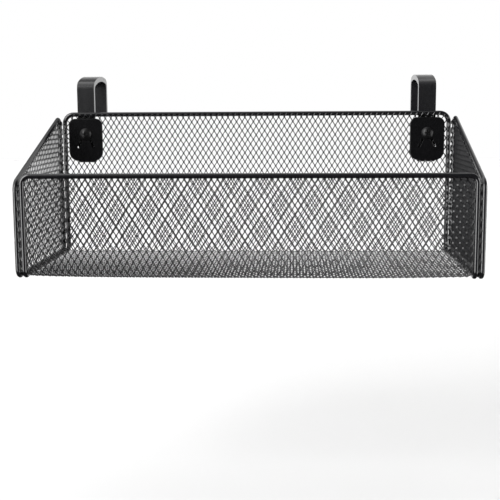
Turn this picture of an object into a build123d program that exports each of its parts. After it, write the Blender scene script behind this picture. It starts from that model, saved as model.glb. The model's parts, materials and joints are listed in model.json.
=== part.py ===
"""Hanging mesh tray: a wire-framed basket of expanded metal with two screwed-on flat-bar hooks.

Millimetres.  X runs along the tray, -Y is the front, +Z is up.  The origin is at the bottom
centre of the whole object's box, so the tray stands on the plane z = 0.
"""
from build123d import *
import os
from math import asin, cos, radians, sin

# --- driving dimensions ---------------------------------------------------------------
WIRE_D = 4.0                # frame wire
SHEET_T = 1.0               # expanded metal, over the height of its tilted strands
RIM_HALF_LENGTH = 172.5     # x of the rim wire at the two ends
TRAY_DEPTH = 146.0          # front wall to back wall, wire centre to wire centre
FRONT_HEIGHT = 77.2         # floor mesh to front rim, wire centre to wire centre
BACK_HEIGHT = 123.5         # floor mesh to back rim
BEND_R = 6.0                # bends between floor and walls
FRONT_CORNER_R = 6.0        # rim wire's corners, seen from the front
BACK_CORNER_R = 8.0

END_FRAME_GAP = 1.0         # folded mesh edge between rim wire and end frame
END_FRONT_HEIGHT = 71.8     # end frame's own corners above the floor mesh, before rounding
END_BACK_HEIGHT = 121.3
END_BOTTOM_R = 6.0
END_FRONT_TOP_R = 9.0
END_BACK_TOP_R = 6.0
FOLD_OVERLAP = 1.0          # folded edge reaches past the end frame's centre line
FOLD_STOP = 8.0             # and stops below the sloping top

HOOK_SPACING = 307.0        # between the two hooks' centre lines
HOOK_WIDTH = 15.5
HOOK_T = 4.5
HOOK_FOOT_Z = 82.3          # lower end of the front leg
HOOK_SHOULDER_Z = 147.8     # where the front leg starts to bend
HOOK_BEND_R = 5.5           # centre line of the two tight bends
HOOK_ARCH_R = 98.0          # centre line of the arched top
HOOK_RISE = 19.0            # slope of the arch behind the front bend, degrees
HOOK_FALL = 10.0            # slope of the arch before the rear bend, degrees
HOOK_LIP_Z = 124.5          # lower end of the rear lip
HOOK_CLEARANCE = 0.3        # front leg to the back of the rim wire
HOOK_EDGE_R = 0.5

SCREW_Z = 108.0
SCREW_D = 5.0
SCREW_FIT = 0.05            # radial clearance in the clamp plate
SCREW_RECESS = 0.5          # screw's end below the hook's rear face
HEAD_D = 10.5
HEAD_H = 3.0
HEAD_EDGE = 0.6             # straight part of the head's side
HEAD_GAP = 0.2              # head to plate, screw not fully tight
CROSS_LENGTH = 5.0
CROSS_WIDTH = 1.2
CROSS_DEPTH = 1.6
MESH_HOLE_D = 8.0           # strands cut away round the screw

PLATE_WIDTH = 30.6
PLATE_ABOVE = 13.8          # plate's top edge above the screw
PLATE_BELOW = 24.4
PLATE_T = 1.6
PLATE_EDGE_R = 0.5
PLATE_TOP_R = 6.0
PLATE_BOTTOM_R = 8.5
PLATE_GAP = 0.1             # plate to mesh
SLOT_LENGTH = 8.0
SLOT_WIDTH = 2.2
SLOT_OFFSET = 5.6           # slot centre from the plate's centre line
SLOT_DROP = 9.0             # slot centre below the screw
SLOT_SLANT = 25.0           # degrees from vertical, the tops leaning inwards

THROUGH = 10.0              # length of a cutting tool that passes right through a wall

# --- derived positions ----------------------------------------------------------------
WIRE_R = WIRE_D / 2
HALF_SHEET = SHEET_T / 2
FLOOR_Z = WIRE_R
FRONT_Z = FLOOR_Z + FRONT_HEIGHT
BACK_Z = FLOOR_Z + BACK_HEIGHT
HOOK_FACE = TRAY_DEPTH + WIRE_R + HOOK_CLEARANCE    # hook's front face behind the front wall
END_X = RIM_HALF_LENGTH + WIRE_D + END_FRAME_GAP


def hook_centre_line():
    """The hook bar's centre line as (distance behind its front face, z), and its end."""
    turn = radians(90 - HOOK_RISE)
    rise, fall = radians(HOOK_RISE), radians(HOOK_FALL)
    foot = Vector(HOOK_T / 2, HOOK_FOOT_Z)
    shoulder = Vector(HOOK_T / 2, HOOK_SHOULDER_Z)
    bend_1 = shoulder + Vector(HOOK_BEND_R * (1 - cos(turn)), HOOK_BEND_R * sin(turn))
    arch_centre = bend_1 + HOOK_ARCH_R * Vector(sin(rise), -cos(rise))
    crown = arch_centre + Vector(0, HOOK_ARCH_R)
    arch_end = arch_centre + HOOK_ARCH_R * Vector(sin(fall), cos(fall))
    rear_centre = arch_end - HOOK_BEND_R * Vector(sin(fall), cos(fall))
    rear_half = (radians(90) - fall) / 2
    rear_mid = rear_centre + HOOK_BEND_R * Vector(cos(rear_half), sin(rear_half))
    lip_top = rear_centre + Vector(HOOK_BEND_R, 0)
    lip_end = Vector(lip_top.X, HOOK_LIP_Z)
    front_centre = shoulder + Vector(HOOK_BEND_R, 0)
    front_mid = front_centre + HOOK_BEND_R * Vector(-cos(turn / 2), sin(turn / 2))
    runs = [
        Line(foot, shoulder),
        ThreePointArc(shoulder, front_mid, bend_1),
        ThreePointArc(bend_1, crown, arch_end),
        ThreePointArc(arch_end, rear_mid, lip_top),
        Line(lip_top, lip_end),
    ]
    return runs, lip_top.X + HOOK_T / 2


HOOK_RUNS, HOOK_DEPTH = hook_centre_line()
TOTAL_DEPTH = WIRE_R + HOOK_FACE + HOOK_DEPTH
FRONT_Y = WIRE_R - TOTAL_DEPTH / 2
BACK_Y = FRONT_Y + TRAY_DEPTH
HOOK_Y = FRONT_Y + HOOK_FACE
PLATE_Y = BACK_Y - HALF_SHEET - PLATE_GAP           # plate's rear face


def rod(path):
    """Round wire along a closed path."""
    return sweep(Plane(path @ 0, z_dir=path % 0) * Circle(WIRE_R), path=path)


def side_plane(x, y=FRONT_Y):
    """Drawing plane at x whose own x runs towards the back and whose own y runs up."""
    return Plane(origin=(x, y, 0), x_dir=(0, 1, 0), z_dir=(1, 0, 0))


def rim_wire():
    """Wire round the channel's edge, closed by a butt weld in the middle of the back rim."""
    left, right = -RIM_HALF_LENGTH, RIM_HALF_LENGTH
    points = [
        (0, BACK_Y, BACK_Z),
        (right, BACK_Y, BACK_Z),
        (right, BACK_Y, FLOOR_Z),
        (right, FRONT_Y, FLOOR_Z),
        (right, FRONT_Y, FRONT_Z),
        (left, FRONT_Y, FRONT_Z),
        (left, FRONT_Y, FLOOR_Z),
        (left, BACK_Y, FLOOR_Z),
        (left, BACK_Y, BACK_Z),
    ]
    half = [BACK_CORNER_R, BEND_R, BEND_R, FRONT_CORNER_R]
    return rod(FilletPolyline(*points, radius=[0] + half + half[::-1], close=True))


def channel_mesh(rim):
    """Front wall, floor and back wall in one bent sheet, with holes for the clamp screws."""
    section = FilletPolyline(
        (0, FRONT_Z), (0, FLOOR_Z), (TRAY_DEPTH, FLOOR_Z), (TRAY_DEPTH, BACK_Z), radius=BEND_R
    )
    profile = side_plane(-RIM_HALF_LENGTH) * trace(section, line_width=SHEET_T)
    sheet = extrude(profile, amount=2 * RIM_HALF_LENGTH, dir=(1, 0, 0))
    for wall_y, rim_z, radius in ((FRONT_Y, FRONT_Z, FRONT_CORNER_R), (BACK_Y, BACK_Z, BACK_CORNER_R)):
        for side in (-1, 1):
            sheet -= corner_waste(side, wall_y, rim_z, radius)
    for side in (-1, 1):
        place = Plane(origin=(side * HOOK_SPACING / 2, BACK_Y, SCREW_Z), z_dir=(0, 1, 0))
        sheet -= place * Cylinder(MESH_HOLE_D / 2, THROUGH)
    return sheet - rim


def corner_waste(side, wall_y, rim_z, radius):
    """What is cut from the sheet outside one of the rim wire's rounded top corners."""
    corner = Pos(side * (RIM_HALF_LENGTH - radius / 2), wall_y, rim_z - radius / 2)
    square = corner * Box(radius, THROUGH, radius)
    centre = Plane(origin=(side * (RIM_HALF_LENGTH - radius), wall_y, rim_z - radius), z_dir=(0, 1, 0))
    return square - centre * Cylinder(radius, 2 * THROUGH)


def end_outline():
    """Centre line of an end frame: level bottom, upright ends, top sloping down to the front."""
    return FilletPolyline(
        (TRAY_DEPTH / 2, FLOOR_Z),
        (TRAY_DEPTH, FLOOR_Z),
        (TRAY_DEPTH, FLOOR_Z + END_BACK_HEIGHT),
        (0, FLOOR_Z + END_FRONT_HEIGHT),
        (0, FLOOR_Z),
        radius=[0, END_BOTTOM_R, END_BACK_TOP_R, END_FRONT_TOP_R, END_BOTTOM_R],
        close=True,
    )


def end_frame(side):
    """Closed wire frame of one end panel."""
    return rod(side_plane(side * END_X) * end_outline())


def end_mesh(side):
    """End panel: a flat sheet whose edge folds inwards round the frame wire and lies between that
    wire and the rim wire.  Along the sloping top it has no fold and just meets the wire."""
    outline = make_face(end_outline())
    inner = offset(outline, amount=-WIRE_R)
    web_inner = offset(outline, amount=-WIRE_R - SHEET_T)
    fold_outer = offset(outline, amount=FOLD_OVERLAP)
    below_slope = Pos(0, -FOLD_STOP) * offset(outline, amount=WIRE_D)
    fold_x = END_X - WIRE_R - END_FRAME_GAP
    web_depth = END_X + HALF_SHEET - fold_x
    panel = Pos(0, 0, web_depth - SHEET_T) * extrude(inner, amount=SHEET_T)
    web = extrude((inner - web_inner) & below_slope, amount=web_depth)
    fold = extrude((fold_outer - web_inner) & below_slope, amount=END_FRAME_GAP)
    solid = side_plane(fold_x) * (panel + web + fold)
    return solid if side > 0 else mirror(solid, about=Plane.YZ)


def clamp_plate(side):
    """Rounded plate inside the back wall with the screw's hole and two slanted slots."""
    low, high = SCREW_Z - PLATE_BELOW, SCREW_Z + PLATE_ABOVE
    half = PLATE_WIDTH / 2
    edge = FilletPolyline(
        (0, low), (half, low), (half, high), (-half, high), (-half, low),
        radius=[0, PLATE_BOTTOM_R, PLATE_TOP_R, PLATE_TOP_R, PLATE_BOTTOM_R],
        close=True,
    )
    holes = Pos(0, SCREW_Z) * Circle(SCREW_D / 2 + SCREW_FIT)
    for slot_side in (-1, 1):
        place = Pos(slot_side * SLOT_OFFSET, SCREW_Z - SLOT_DROP)
        lean = Rot(0, 0, 90 + slot_side * SLOT_SLANT)
        holes += place * lean * SlotOverall(SLOT_LENGTH, SLOT_WIDTH)
    plane = Plane(origin=(side * HOOK_SPACING / 2, PLATE_Y, 0), x_dir=(1, 0, 0), z_dir=(0, -1, 0))
    blank = extrude(plane * make_face(edge), amount=PLATE_T)
    plate = fillet(blank.edges().group_by(Axis.Y)[0], radius=PLATE_EDGE_R)
    return plate - extrude(plane * holes, amount=PLATE_T)


def clamp_screw(side):
    """Domed cross-recess screw from inside the tray, through plate and mesh, into the hook."""
    head_face = PLATE_Y - PLATE_T - HEAD_GAP
    length = HOOK_Y + HOOK_T - SCREW_RECESS - head_face
    head_r, shank_r = HEAD_D / 2, SCREW_D / 2
    dome_h = HEAD_H - HEAD_EDGE
    dome_r = (head_r ** 2 + dome_h ** 2) / (2 * dome_h)
    half_angle = asin(head_r / dome_r) / 2
    dome_mid = (dome_r * sin(half_angle), dome_r * (1 - cos(half_angle)) - HEAD_H)
    profile = make_face([
        Polyline((0, -HEAD_H), (0, length), (shank_r, length), (shank_r, 0), (head_r, 0),
                 (head_r, -HEAD_EDGE)),
        ThreePointArc((head_r, -HEAD_EDGE), dome_mid, (0, -HEAD_H)),
    ])
    x = side * HOOK_SPACING / 2
    plane = Plane(origin=(x, head_face, SCREW_Z), x_dir=(1, 0, 0), z_dir=(0, 0, 1))
    screw = revolve(plane * profile, axis=Axis((x, head_face, SCREW_Z), (0, 1, 0)))
    recess = Pos(x, head_face - HEAD_H + CROSS_DEPTH / 2, SCREW_Z)
    screw -= recess * Box(CROSS_LENGTH, CROSS_DEPTH, CROSS_WIDTH)
    screw -= recess * Box(CROSS_WIDTH, CROSS_DEPTH, CROSS_LENGTH)
    return screw


def hook(side):
    """Flat bar bent into a hook, with the clamp screw's threaded hole in its front leg."""
    x = side * HOOK_SPACING / 2
    plane = side_plane(x - HOOK_WIDTH / 2, HOOK_Y)
    bar = extrude(plane * trace(HOOK_RUNS, line_width=HOOK_T), amount=HOOK_WIDTH, dir=(1, 0, 0))
    ends = bar.faces().sort_by(Axis.Z)[0].edges() + lip_end_face(bar).edges()
    bar = fillet(ends, radius=HOOK_EDGE_R)
    hole = Plane(origin=(x, HOOK_Y + HOOK_T / 2, SCREW_Z), z_dir=(0, 1, 0))
    return bar - hole * Cylinder(SCREW_D / 2, THROUGH)


def lip_end_face(bar):
    """The small face at the lower end of the rear lip."""
    target = Vector(0, HOOK_Y + HOOK_DEPTH - HOOK_T / 2, HOOK_LIP_Z)
    return bar.faces().sort_by(lambda face: (face.center() - target - Vector(face.center().X)).length)[0]


def write(shape, name):
    """One STEP file per piece."""
    export_step(shape, f"parts/{name}.step")


os.makedirs("parts", exist_ok=True)
rim = rim_wire()
write(rim, "rim_wire")
write(channel_mesh(rim), "channel_mesh")
for side_name, side in (("left", -1), ("right", 1)):
    write(end_frame(side), f"{side_name}_end_frame")
    write(end_mesh(side), f"{side_name}_end_mesh")
    write(clamp_plate(side), f"{side_name}_clamp_plate")
    write(clamp_screw(side), f"{side_name}_clamp_screw")
    write(hook(side), f"{side_name}_hook")
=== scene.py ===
"""Looks of the hanging mesh tray: open expanded metal, coated wires, hooks, clamp plates and screws."""
import json
import math

import bmesh
import bpy
import numpy as np
from mathutils import Matrix, Vector

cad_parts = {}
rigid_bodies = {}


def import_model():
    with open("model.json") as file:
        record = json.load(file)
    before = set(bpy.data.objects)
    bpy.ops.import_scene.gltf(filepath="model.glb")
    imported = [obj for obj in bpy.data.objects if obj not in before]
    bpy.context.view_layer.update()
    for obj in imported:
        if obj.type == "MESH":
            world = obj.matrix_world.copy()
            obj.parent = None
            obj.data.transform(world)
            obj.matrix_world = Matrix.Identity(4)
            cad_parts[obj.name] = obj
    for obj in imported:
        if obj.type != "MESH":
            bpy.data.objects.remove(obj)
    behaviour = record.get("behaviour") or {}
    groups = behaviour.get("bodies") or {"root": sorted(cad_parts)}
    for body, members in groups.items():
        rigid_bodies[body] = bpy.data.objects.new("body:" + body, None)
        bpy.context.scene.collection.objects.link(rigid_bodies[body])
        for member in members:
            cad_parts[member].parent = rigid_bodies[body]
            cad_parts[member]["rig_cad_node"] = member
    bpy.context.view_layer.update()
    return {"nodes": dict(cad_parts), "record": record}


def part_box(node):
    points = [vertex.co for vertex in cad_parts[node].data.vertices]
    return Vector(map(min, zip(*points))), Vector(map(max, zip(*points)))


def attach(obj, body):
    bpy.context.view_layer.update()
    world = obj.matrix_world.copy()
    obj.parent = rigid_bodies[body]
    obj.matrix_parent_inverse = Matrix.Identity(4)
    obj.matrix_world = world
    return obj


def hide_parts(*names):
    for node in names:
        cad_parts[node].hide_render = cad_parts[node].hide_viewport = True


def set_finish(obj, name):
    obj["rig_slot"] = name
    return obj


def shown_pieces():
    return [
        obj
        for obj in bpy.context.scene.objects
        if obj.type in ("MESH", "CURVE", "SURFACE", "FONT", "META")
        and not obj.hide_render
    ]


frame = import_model()

MM = 0.001
SIDES = (("left", -1), ("right", 1))

# --- places read from the frame, in millimetres ----------------------------------------------
WIRE_R = 2.0


def box_mm(node):
    low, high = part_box(node)
    return np.array(low) / MM, np.array(high) / MM


def centre_mm(node):
    low, high = box_mm(node)
    return (low + high) / 2


def points_mm(node):
    mesh = frame["nodes"][node].data
    flat = np.empty(len(mesh.vertices) * 3)
    mesh.vertices.foreach_get("co", flat)
    return flat.reshape(-1, 3) / MM


rim_low, rim_high = box_mm("rim_wire")
RIM_X = rim_high[0] - WIRE_R
FRONT_Y = rim_low[1] + WIRE_R
BACK_Y = rim_high[1] - WIRE_R
FLOOR_Z = rim_low[2] + WIRE_R
BACK_Z = rim_high[2] - WIRE_R
rim_points = points_mm("rim_wire")
FRONT_Z = rim_points[rim_points[:, 1] < FRONT_Y][:, 2].max() - WIRE_R
DEPTH = BACK_Y - FRONT_Y
END_X = box_mm("right_end_frame")[1][0] - WIRE_R
SCREW_AT = {name: centre_mm(f"{name}_clamp_screw") for name, _ in SIDES}

# --- the tray's own shapes, as in the frame ----------------------------------------------------
BEND_R = 6.0
FRONT_CORNER_R = 6.0
BACK_CORNER_R = 8.0
END_FRONT_Z = FLOOR_Z + 71.8        # end frame's top corners before rounding
END_BACK_Z = FLOOR_Z + 121.3
END_RADII = (6.0, 6.0, 6.0, 9.0)    # bottom front, bottom back, top back, top front

# --- expanded metal ---------------------------------------------------------------------------
SHORT_WAY = np.array((5.058, 0.019))    # one diamond along the tray, and how far the row climbs
LONG_WAY = np.array((0.038, 7.955))     # one diamond up the walls, and how far the column leans
STRAND_W = 0.875
STRAND_T = 0.42
STRAND_TILT = math.radians(33)
BOND_LENGTH = 1.2
END_TILTS = {"left": math.radians(3), "right": math.radians(30)}    # chosen by look: open left, closed right
FLOOR_SQUASH = 0.45                 # share of the strands' height pressed out at the floor's back
SAG = 1.5                           # how far the floor hangs below its wires along the front bend
BACK_BOND = (3.0, -0.77)            # a bond on the back wall, x and z
FRONT_PULL = (0.99, 1.95)           # how far the sheet is drawn askew by the time it reaches the front wall
SHORTEST_STRAND = 0.7
STRAND_SETBACK = 0.46               # strand's middle beside the bond, as a share of its width
LEAST_CUT = 0.02                    # a cut this close to a ring adds no ring of its own
EDGE_REACH = 0.3                    # the channel's strands end this far past the rim wire's centre
JOGGLE = 2.45                       # how far the edge steps inwards to lie on the wire
JOGGLE_FROM, JOGGLE_TO = 3.8, 0.8   # distance from the wire's centre where the step starts and ends


def rounded(points, radii, steps=6):
    """Corner points of a convex polygon, anticlockwise, with each corner rounded."""
    outline = []
    count = len(points)
    for i, (point, radius) in enumerate(zip(points, radii)):
        here = np.array(point, float)
        to_last = np.array(points[i - 1], float) - here
        to_next = np.array(points[(i + 1) % count], float) - here
        to_last /= np.linalg.norm(to_last)
        to_next /= np.linalg.norm(to_next)
        half = math.acos(float(np.clip(to_last @ to_next, -1, 1))) / 2
        if radius <= 0:
            outline.append(here)
            continue
        middle = (to_last + to_next) / np.linalg.norm(to_last + to_next)
        centre = here + middle * radius / math.sin(half)
        start = here + to_last * radius / math.tan(half) - centre
        end = here + to_next * radius / math.tan(half) - centre
        a0 = math.atan2(start[1], start[0])
        turn = (math.atan2(end[1], end[0]) - a0 + math.pi) % (2 * math.pi) - math.pi
        for k in range(steps + 1):
            a = a0 + turn * k / steps
            outline.append(centre + radius * np.array((math.cos(a), math.sin(a))))
    return np.array(outline)


def edge_distance(outline, points):
    """Signed distance to a closed outline, positive inside, and the nearest point on it."""
    start = outline
    run = np.roll(outline, -1, axis=0) - start
    rel = points[:, None, :] - start[None]
    share = np.clip((rel * run).sum(2) / np.maximum((run * run).sum(1), 1e-12), 0, 1)
    near = start[None] + share[..., None] * run[None]
    gap = np.linalg.norm(points[:, None, :] - near, axis=2)
    best = gap.argmin(1)
    rows = np.arange(len(points))
    y0, y1 = start[:, 1][None], (start + run)[:, 1][None]
    crosses = (y0 > points[:, 1:2]) != (y1 > points[:, 1:2])
    with np.errstate(divide="ignore", invalid="ignore"):
        at = start[:, 0][None] + (points[:, 1:2] - y0) * run[:, 0][None] / run[:, 1][None]
    inside = (crosses & (points[:, 0:1] < at)).sum(1) % 2 == 1
    return np.where(inside, 1, -1) * gap[rows, best], near[rows, best]


def smooth(t):
    t = np.clip(t, 0, 1)
    return t * t * (3 - 2 * t)


def strands(keep, place, low, high, shift, tilt, pull=None):
    """Zigzag strands of expanded metal, as vertices and faces.

    low and high are the corners of the flat sheet, keep(points) is positive where metal stays,
    tilt turns each strand's section about the long way, pull(points) moves the flat lattice a
    little, and place turns (across, along, out of the sheet) into the row frame."""
    across = np.array((math.cos(tilt), math.sin(tilt)))
    through = np.array((-math.sin(tilt), math.cos(tilt)))
    corners = [(a * STRAND_W / 2) * across + (b * STRAND_T / 2) * through
               for a, b in ((-1, -1), (1, -1), (1, 1), (-1, 1))]
    shift = np.array(shift)
    step, climb = SHORT_WAY / 2, LONG_WAY / 2
    first = math.floor((low[0] - shift[0]) / step[0]) - 2
    last = math.ceil((high[0] - shift[0]) / step[0]) + 2
    row_first = math.floor((low[1] - shift[1]) / climb[1]) - 2
    row_last = math.ceil((high[1] - shift[1]) / climb[1]) + 2
    half_bond = np.array((0, BOND_LENGTH / 2))
    verts, faces = [], []
    total = 0
    for k in range(first, last):
        rings = []
        for j in range(row_first, row_last + 1):
            leans = (j - k) % 2            # 0: joined to the bond on its left, 1: on its right
            side = -1 if leans else 1
            bond = shift + (k + leans) * step + j * climb
            beside = np.array((side * across[0] * STRAND_W * STRAND_SETBACK, 0))
            depth = side * across[1] * STRAND_W * STRAND_SETBACK
            for end in (-half_bond, half_bond):
                rings.append((*(bond + beside + end), depth))
        rings = np.array(rings)
        if pull is not None:
            rings[:, :2] += pull(rings[:, :2])
        for run in kept_runs(rings, keep(rings[:, :2])):
            ring_points = np.stack([
                np.stack((run[:, 0] + c[0], run[:, 1], run[:, 2] + c[1]), axis=1) for c in corners
            ], axis=1).reshape(-1, 3)
            verts.append(ring_points)
            rows = len(run)
            for r in range(rows - 1):
                base = total + 4 * r
                for c in range(4):
                    d = (c + 1) % 4
                    faces.append((base + c, base + d, base + 4 + d, base + 4 + c))
            end = total + 4 * (rows - 1)
            faces.append((total + 3, total + 2, total + 1, total))
            faces.append((end, end + 1, end + 2, end + 3))
            total += 4 * rows
    return place(np.concatenate(verts)), faces


def kept_runs(rings, value):
    """The stretches of one strand where value is positive, cut where it crosses zero."""
    run, runs = [], []
    for i, ring in enumerate(rings):
        if value[i] > 0:
            if not run and i > 0:
                share = value[i] / (value[i] - value[i - 1])
                if share > LEAST_CUT:
                    run.append(ring + (rings[i - 1] - ring) * share)
            run.append(ring)
        elif run:
            share = value[i - 1] / (value[i - 1] - value[i])
            if share > LEAST_CUT:
                run.append(rings[i - 1] + (ring - rings[i - 1]) * share)
            runs.append(np.array(run))
            run = []
    if run:
        runs.append(np.array(run))
    return [run for run in runs if len(run) > 1 and run[-1, 1] - run[0, 1] > SHORTEST_STRAND]


def new_piece(name, verts, faces, body, slot, replaced=(), flip=False):
    mesh = bpy.data.meshes.new(name)
    if flip:
        faces = [tuple(reversed(f)) for f in faces]
    mesh.from_pydata([tuple(v) for v in np.asarray(verts) * MM], [], faces)
    mesh.update()
    piece = bpy.data.objects.new(name, mesh)
    bpy.context.scene.collection.objects.link(piece)
    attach(piece, body)
    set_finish(piece, slot)
    if replaced:
        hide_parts(*replaced)
    return piece


def joggle(distance):
    return JOGGLE * smooth((JOGGLE_FROM - distance) / (JOGGLE_FROM - JOGGLE_TO))


# The channel: front wall, floor and back wall, bent from one flat sheet
FRONT_RUN = FRONT_Z - FLOOR_Z - BEND_R
BEND_RUN = BEND_R * math.pi / 2
FLOOR_RUN = DEPTH - 2 * BEND_R
BACK_RUN = BACK_Z - FLOOR_Z - BEND_R
SHEET_RUN = FRONT_RUN + BEND_RUN + FLOOR_RUN + BEND_RUN + BACK_RUN


def bent(points):
    """Flat (x, run from the front rim, inwards) to the row frame."""
    x, v, n = points.T
    y, z = np.empty_like(v), np.empty_like(v)
    ends = np.cumsum((FRONT_RUN, BEND_RUN, FLOOR_RUN, BEND_RUN))
    a = v <= ends[0]
    y[a], z[a] = FRONT_Y + n[a], FRONT_Z - v[a]
    b = (v > ends[0]) & (v <= ends[1])
    turn = (v[b] - ends[0]) / BEND_R
    y[b] = FRONT_Y + BEND_R - (BEND_R - n[b]) * np.cos(turn)
    z[b] = FLOOR_Z + BEND_R - (BEND_R - n[b]) * np.sin(turn)
    c = (v > ends[1]) & (v <= ends[2])
    y[c], z[c] = FRONT_Y + BEND_R + v[c] - ends[1], FLOOR_Z + n[c]
    d = (v > ends[2]) & (v <= ends[3])
    turn = (v[d] - ends[2]) / BEND_R
    y[d] = BACK_Y - BEND_R + (BEND_R - n[d]) * np.sin(turn)
    z[d] = FLOOR_Z + BEND_R - (BEND_R - n[d]) * np.cos(turn)
    e = v > ends[3]
    y[e], z[e] = BACK_Y - n[e], FLOOR_Z + BEND_R + v[e] - ends[3]
    return np.stack((x, y, z), axis=1)


sheet_outline = rounded(
    [(-RIM_X, 0), (RIM_X, 0), (RIM_X, SHEET_RUN), (-RIM_X, SHEET_RUN)],
    (FRONT_CORNER_R, FRONT_CORNER_R, BACK_CORNER_R, BACK_CORNER_R),
)
SCREW_HOLE_R = 4.0


def channel_keep(points):
    distance, _ = edge_distance(sheet_outline, points)
    value = distance + EDGE_REACH
    for at in SCREW_AT.values():
        hole = np.array((at[0], SHEET_RUN - (BACK_Z - at[2])))
        value = np.minimum(value, np.linalg.norm(points - hole, axis=1) - SCREW_HOLE_R)
    return value


def channel_place(points):
    distance, _ = edge_distance(sheet_outline, points[:, :2])
    lifted = points.copy()
    floor_share = (points[:, 1] - FRONT_RUN - BEND_RUN) / FLOOR_RUN
    pressed = smooth(floor_share) * smooth((1 - floor_share) * FLOOR_RUN / BEND_R)
    lifted[:, 2] *= 1 - FLOOR_SQUASH * pressed
    lifted[:, 2] += joggle(distance)
    placed = bent(lifted)
    from_front = np.clip((placed[:, 1] - FRONT_Y) / DEPTH, 0, 1)
    low = smooth((3 * BEND_R - placed[:, 2]) / (3 * BEND_R - FLOOR_Z))
    placed[:, 2] -= SAG * low * (1 - from_front) * (1 - (placed[:, 0] / RIM_X) ** 4)
    return placed


def channel_pull(points):
    """The lattice drifts by FRONT_PULL between the back bend and the front bend."""
    share = (FRONT_RUN + BEND_RUN + FLOOR_RUN - points[:, 1]) / FLOOR_RUN
    return np.clip(share, 0, 1)[:, None] * np.array(FRONT_PULL)


verts, faces = strands(channel_keep, channel_place, (-RIM_X, 0), (RIM_X, SHEET_RUN),
                       (BACK_BOND[0], SHEET_RUN - BACK_Z + BACK_BOND[1]), STRAND_TILT, channel_pull)
channel = new_piece("channel_expanded_metal", verts, faces, "tray", "mesh_coat", ["channel_mesh"])

# The end panels, flat in y and z
end_outline = rounded(
    [(FRONT_Y, FLOOR_Z), (BACK_Y, FLOOR_Z), (BACK_Y, END_BACK_Z), (FRONT_Y, END_FRONT_Z)], END_RADII
)
FRONT_WRAP, BOTTOM_WRAP, BACK_WRAP = 2.2, 0.5, 0.5     # how far the edge is folded round each wire
TOP_STOP = 0.6                                         # how far below the sloping wire's centre it stops
FOLD_R = JOGGLE + 0.05
slope = (END_BACK_Z - END_FRONT_Z) / DEPTH
end_cut = rounded(
    [(FRONT_Y - FRONT_WRAP, FLOOR_Z - BOTTOM_WRAP), (BACK_Y + BACK_WRAP, FLOOR_Z - BOTTOM_WRAP),
     (BACK_Y + BACK_WRAP, END_BACK_Z - TOP_STOP + slope * BACK_WRAP),
     (FRONT_Y - FRONT_WRAP, END_FRONT_Z - TOP_STOP - slope * FRONT_WRAP)],
    END_RADII,
)


def end_keep(points):
    return edge_distance(end_cut, points)[0]


def end_place(side):
    def place(points):
        flat = points[:, :2]
        distance, near = edge_distance(end_outline, flat)
        inwards = points[:, 2] + joggle(distance)
        y, z = flat.T.copy()
        out = distance < 0
        turn = -distance[out] / FOLD_R
        radius = inwards[out]
        away = flat[out] - near[out]
        away /= np.maximum(np.linalg.norm(away, axis=1), 1e-9)[:, None]
        moved = near[out] + away * (radius * np.sin(turn))[:, None]
        y[out], z[out] = moved.T
        inwards[out] = radius * np.cos(turn)
        return np.stack((side * (END_X - inwards), y, z), axis=1)
    return place


for name, side in SIDES:
    verts, faces = strands(end_keep, end_place(side), (FRONT_Y - FRONT_WRAP, FLOOR_Z - 1),
                           (BACK_Y + BACK_WRAP, END_BACK_Z), (FRONT_Y, FLOOR_Z), END_TILTS[name])
    new_piece(f"{name}_end_expanded_metal", verts, faces, "tray", "mesh_coat", [f"{name}_end_mesh"],
              flip=side > 0)


# --- hooks, plates and screws: the frame's shapes with softened edges ---------------------------
WELD = 0.001 * MM
FLAT_ANGLE, SHARP_ANGLE = math.radians(0.3), math.radians(35)


def refined(node, body, slot, edge_r):
    """A copy of a CAD node with whole flat faces and its sharp edges rounded off."""
    solid = bmesh.new()
    solid.from_mesh(frame["nodes"][node].data)
    bmesh.ops.remove_doubles(solid, verts=solid.verts, dist=WELD)
    bmesh.ops.dissolve_limit(solid, angle_limit=FLAT_ANGLE, verts=solid.verts, edges=solid.edges)
    sharp = [edge for edge in solid.edges if edge.calc_face_angle(0) > SHARP_ANGLE]
    bmesh.ops.bevel(solid, geom=sharp, offset=edge_r * MM, offset_type="OFFSET", segments=3, profile=0.5,
                    affect="EDGES", clamp_overlap=True)
    name = f"{node}_finished"
    mesh = bpy.data.meshes.new(name)
    solid.to_mesh(mesh)
    solid.free()
    if "custom_normal" in mesh.attributes:
        mesh.attributes.remove(mesh.attributes["custom_normal"])
    mesh.shade_smooth()
    piece = bpy.data.objects.new(name, mesh)
    bpy.context.scene.collection.objects.link(piece)
    even = piece.modifiers.new("even_normals", "WEIGHTED_NORMAL")
    even.mode = "FACE_AREA"
    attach(piece, body)
    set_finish(piece, slot)
    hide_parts(node)
    return piece


for name, side in SIDES:
    refined(f"{name}_hook", f"{name}_hook_arm", "hook_coat", 0.2)
    refined(f"{name}_clamp_screw", f"{name}_hook_arm", "screw_black", 0.12)
    refined(f"{name}_clamp_plate", "tray", "plate_coat", 0.15)


# --- materials ---------------------------------------------------------------------------------
PEEL_DEPTH = 0.03 * MM
GRAIN_PER_MOTTLE = 6


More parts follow.
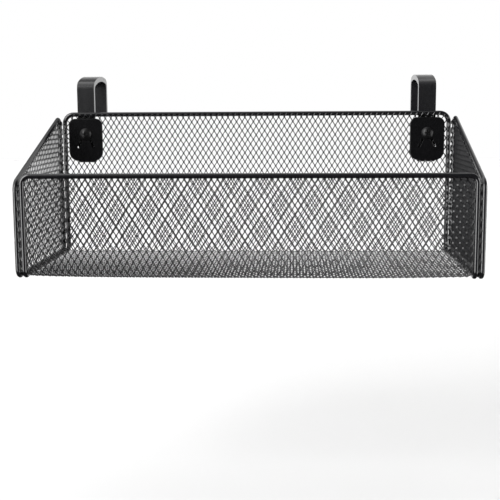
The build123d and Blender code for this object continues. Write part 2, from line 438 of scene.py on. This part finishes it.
def coat(name, dark, light, roughness, bump, scale, specular=0.5):
    """Black coating: faint mottling, roughness that varies a little, and a fine orange-peel bump."""
    material = bpy.data.materials.new(name)
    material.use_nodes = True
    tree = material.node_tree
    shader = tree.nodes["Principled BSDF"]
    shader.inputs["Specular IOR Level"].default_value = specular
    where = tree.nodes.new("ShaderNodeTexCoord")
    mottle = tree.nodes.new("ShaderNodeTexNoise")
    mottle.inputs["Scale"].default_value = scale
    mottle.inputs["Detail"].default_value = 3
    tree.links.new(where.outputs["Object"], mottle.inputs["Vector"])
    colour = tree.nodes.new("ShaderNodeMix")
    colour.data_type = "RGBA"
    colour.inputs["A"].default_value = (*dark, 1)
    colour.inputs["B"].default_value = (*light, 1)
    tree.links.new(mottle.outputs["Fac"], colour.inputs["Factor"])
    tree.links.new(colour.outputs["Result"], shader.inputs["Base Color"])
    span = tree.nodes.new("ShaderNodeMapRange")
    span.inputs["To Min"].default_value = roughness[0]
    span.inputs["To Max"].default_value = roughness[1]
    tree.links.new(mottle.outputs["Fac"], span.inputs["Value"])
    tree.links.new(span.outputs["Result"], shader.inputs["Roughness"])
    grain = tree.nodes.new("ShaderNodeTexNoise")
    grain.inputs["Scale"].default_value = scale * GRAIN_PER_MOTTLE
    grain.inputs["Detail"].default_value = 2
    tree.links.new(where.outputs["Object"], grain.inputs["Vector"])
    peel = tree.nodes.new("ShaderNodeBump")
    peel.inputs["Strength"].default_value = bump
    peel.inputs["Distance"].default_value = PEEL_DEPTH
    tree.links.new(grain.outputs["Fac"], peel.inputs["Height"])
    tree.links.new(peel.outputs["Normal"], shader.inputs["Normal"])
    return material


mesh_coat = coat("mesh_coat", (0.004, 0.004, 0.0045), (0.008, 0.008, 0.009), (0.24, 0.34), 0.2, 400)
wire_coat = coat("wire_coat", (0.003, 0.003, 0.0035), (0.006, 0.006, 0.007), (0.09, 0.15), 0.15, 250)
hook_coat = coat("hook_coat", (0.005, 0.005, 0.0055), (0.009, 0.009, 0.010), (0.2, 0.28), 0.2, 250)
plate_coat = coat("plate_coat", (0.002, 0.002, 0.0022), (0.004, 0.004, 0.0045), (0.12, 0.18), 0.2, 250, 0.35)
screw_coat = coat("screw_black", (0.003, 0.003, 0.0033), (0.006, 0.006, 0.0065), (0.3, 0.4), 0.1, 500, 0.2)
by_slot = {"mesh_coat": mesh_coat, "wire_coat": wire_coat, "hook_coat": hook_coat, "plate_coat": plate_coat,
           "screw_black": screw_coat}
slots = {row["node"]: row["material_slot"] for row in frame["record"]["subparts"]}


def paint(piece, material):
    piece.data.materials.clear()
    piece.data.materials.append(material)


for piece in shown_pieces():
    paint(piece, by_slot[piece["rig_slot"] if "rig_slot" in piece else slots[piece["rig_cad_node"]]])

# --- studio --------------------------------------------------------------------------------------
scene = bpy.context.scene
scene.view_settings.view_transform = "Standard"
world = bpy.data.worlds.new("studio")
scene.world = world
world.use_nodes = True
tree = world.node_tree


def link_or_set(socket, value):
    if isinstance(value, (int, float)):
        socket.default_value = value
    else:
        tree.links.new(value, socket)


def maths(operation, *values):
    node = tree.nodes.new("ShaderNodeMath")
    node.operation = operation
    for socket, value in zip(node.inputs, values):
        link_or_set(socket, value)
    return node.outputs[0]


def ramp(value, start, end, kind="SMOOTHSTEP"):
    """0 at start to 1 at end."""
    node = tree.nodes.new("ShaderNodeMapRange")
    node.interpolation_type = kind
    link_or_set(node.inputs["Value"], value)
    node.inputs["From Min"].default_value = start
    node.inputs["From Max"].default_value = end
    return node.outputs["Result"]


def panel(across, up, soft, strength):
    """A soft-edged light panel between two azimuths and two elevations, in degrees."""
    light = strength
    for value, (start, end) in ((azimuth, across), (elevation, up)):
        light = maths("MULTIPLY", light, ramp(value, start - soft, start + soft))
        light = maths("MULTIPLY", light, ramp(value, end + soft, end - soft))
    return light


DARK_ROOM = 0.06        # light from every other direction
SEEN_WHITE = 1.0        # what the camera sees in place of the lights

toward = tree.nodes.new("ShaderNodeSeparateXYZ")
tree.links.new(tree.nodes.new("ShaderNodeTexCoord").outputs["Generated"], toward.inputs[0])
x, y, z = toward.outputs
forward_y = maths("MULTIPLY", y, -1.0)
azimuth = maths("DEGREES", maths("ARCTAN2", x, forward_y))       # 0 in front, + towards +X
elevation = maths("DEGREES", maths("ARCSINE", z))
over = maths("DEGREES", maths("ARCTAN2", z, forward_y))          # 0 in front, 90 overhead, 180 behind
key = panel((-57, -26), (-35, 50), 4, 9.5)
side_light = panel((60, 100), (-35, 26), 4, 6.5)
backdrop = maths("MULTIPLY", ramp(maths("ABSOLUTE", azimuth), 112, 130), ramp(elevation, -35, -20))
backdrop = maths("MULTIPLY", maths("MULTIPLY", backdrop, ramp(elevation, 34, 4)), 1.3)
sweep_up = ramp(maths("SUBTRACT", over, maths("MULTIPLY", x, 110.0)), 15, 110, "LINEAR")
overhead = maths("MULTIPLY", maths("POWER", sweep_up, 2.0), 2.1)
overhead = maths("MULTIPLY", overhead, ramp(over, 165, 100, "LINEAR"))
overhead = maths("MULTIPLY", overhead, ramp(over, 142, 134))
rear_light = panel((122, 170), (10, 58), 5, 0.9)
around = maths("MAXIMUM", maths("MAXIMUM", backdrop, rear_light), overhead)
light = maths("ADD", maths("ADD", key, side_light), maths("ADD", around, DARK_ROOM))
seen = maths("MULTIPLY_ADD", tree.nodes.new("ShaderNodeLightPath").outputs["Is Camera Ray"],
             maths("SUBTRACT", SEEN_WHITE, light), light)
tree.links.new(seen, tree.nodes["Background"].inputs["Strength"])
tree.nodes["Background"].inputs["Color"].default_value = (1, 1, 1, 1)

FLOOR_DROP, FLOOR_HALF = 0.2, 6.0
FLOOR_GREY = 0.66
floor_corners = [(a * FLOOR_HALF, b * FLOOR_HALF, -FLOOR_DROP)
                 for a, b in ((-1, -1), (1, -1), (1, 1), (-1, 1))]
floor_mesh = bpy.data.meshes.new("floor")
floor_mesh.from_pydata(floor_corners, [], [(0, 1, 2, 3)])
floor = bpy.data.objects.new("floor", floor_mesh)
scene.collection.objects.link(floor)
floor.visible_glossy = False
pale = bpy.data.materials.new("pale_floor")
pale.use_nodes = True
matt = pale.node_tree.nodes["Principled BSDF"]
matt.inputs["Base Color"].default_value = (FLOOR_GREY, FLOOR_GREY, FLOOR_GREY, 1)
matt.inputs["Roughness"].default_value = 1.0
matt.inputs["Specular IOR Level"].default_value = 0.0
floor_mesh.materials.append(pale)

# --- camera ----------------------------------------------------------------------------------------
CAMERA_AT = (0.0366, -0.8237, 0.1254)
LENS, SENSOR = 68.81, 36
YAW, PITCH, ROLL = (math.radians(a) for a in (-2.757, -8.106, -0.286))
camera = bpy.data.objects.new("camera", bpy.data.cameras.new("camera"))
scene.collection.objects.link(camera)
scene.camera = camera
camera.data.sensor_width = SENSOR
camera.data.lens = LENS
camera.data.clip_start = 0.05
camera.data.clip_end = 20
forward = Vector((math.sin(YAW) * math.cos(PITCH), math.cos(YAW) * math.cos(PITCH), math.sin(PITCH)))
right = Vector((math.cos(YAW), -math.sin(YAW), 0))
up = right.cross(forward)
right, up = right * math.cos(ROLL) + up * math.sin(ROLL), up * math.cos(ROLL) - right * math.sin(ROLL)
turned = Matrix((right, up, -forward)).transposed().to_4x4()
camera.matrix_world = Matrix.Translation(CAMERA_AT) @ turned
